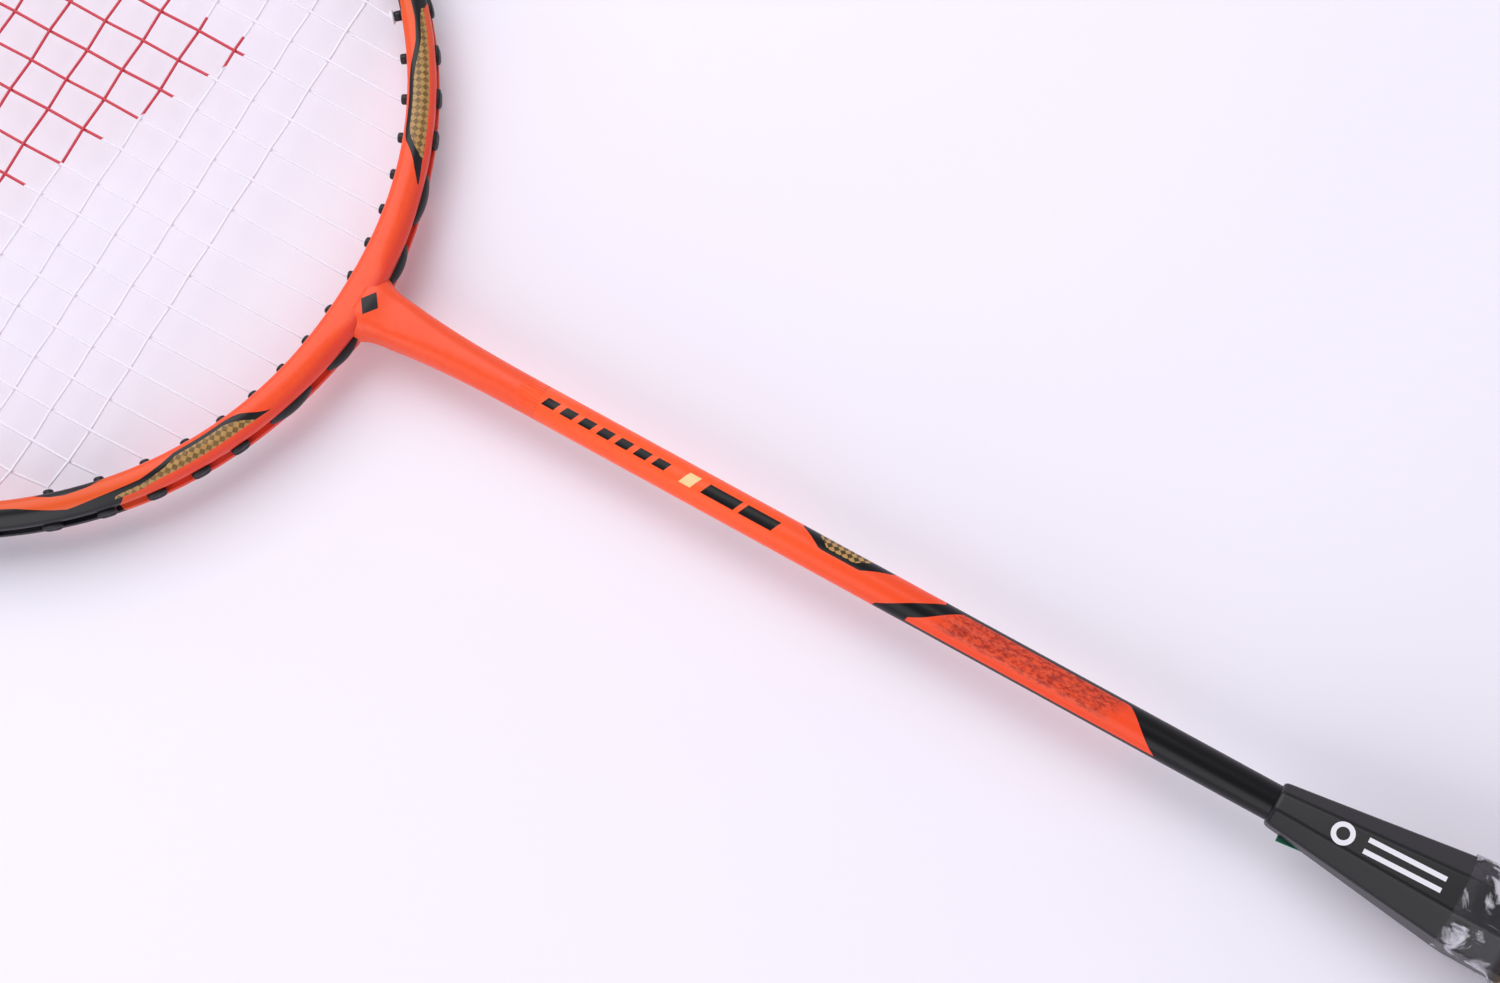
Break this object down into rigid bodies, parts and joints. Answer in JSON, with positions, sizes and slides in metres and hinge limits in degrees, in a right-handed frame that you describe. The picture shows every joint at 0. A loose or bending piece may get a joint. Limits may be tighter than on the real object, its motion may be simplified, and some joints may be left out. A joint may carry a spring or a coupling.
{
  "type": "badminton racket",
  "caption": "Badminton racket: oval hollow frame strung with mains and crosses, slim round shaft, black cone and taped octagonal grip in a clear film sleeve.",
  "frame": {"origin": "centre of the butt end's flat face, on the shaft's axis", "axes": "+Y along the shaft from the butt to the top of the head, +X across the head, +Z square to the string bed; the racket lies flat"},
  "size_m": [0.2012, 0.675, 0.0316],
  "materials": {
    "frame_paint": "clear-coated gloss paint on carbon laminate",
    "shaft_paint": "clear-coated gloss paint on carbon laminate",
    "foam": "rigid closed-cell foam",
    "insert_metal": "as machined",
    "epoxy": "cured adhesive",
    "grommet_nylon": "moulded nylon, satin",
    "string_nylon": "braided nylon, slightly glossy",
    "handle_wood": "bare, sanded",
    "tack_steel": "plain",
    "cone_plastic": "moulded, satin gloss",
    "cap_plastic": "moulded, satin",
    "disc_plastic": "plain",
    "grip_tape": "tacky polyurethane tape",
    "finish_tape": "thin adhesive tape",
    "clear_film": "clear shrink film",
    "label_paper": "plain"
  },
  "bodies": {
    "root": {"head_frame": "frame_paint", "frame_foam_core": "foam", "joint_insert": "insert_metal", "shaft_tube": "shaft_paint", "shaft_glue": "epoxy", "shaft_plug": "foam", "throat_strip_inner_right": "grommet_nylon", "throat_strip_inner_left": "grommet_nylon", "throat_strip_outer_right": "grommet_nylon", "throat_strip_outer_left": "grommet_nylon", "top_strip_right": "grommet_nylon", "top_strip_left": "grommet_nylon", "grommets_lower_right": "grommet_nylon", "grommets_side_right": "grommet_nylon", "grommets_upper_right": "grommet_nylon", "grommets_lower_left": "grommet_nylon", "grommets_side_left": "grommet_nylon", "grommets_upper_left": "grommet_nylon", "main_string": "string_nylon", "cross_string": "string_nylon", "main_string_knots": "string_nylon", "cross_string_knots": "string_nylon", "handle_core": "handle_wood", "grip_tack": "tack_steel", "cone_cap": "cone_plastic", "butt_cap": "cap_plastic", "butt_disc": "disc_plastic", "grip_wrap": "grip_tape", "finishing_tape": "finish_tape", "grip_film": "clear_film", "cone_label": "label_paper"}
  },
  "joints": []
}
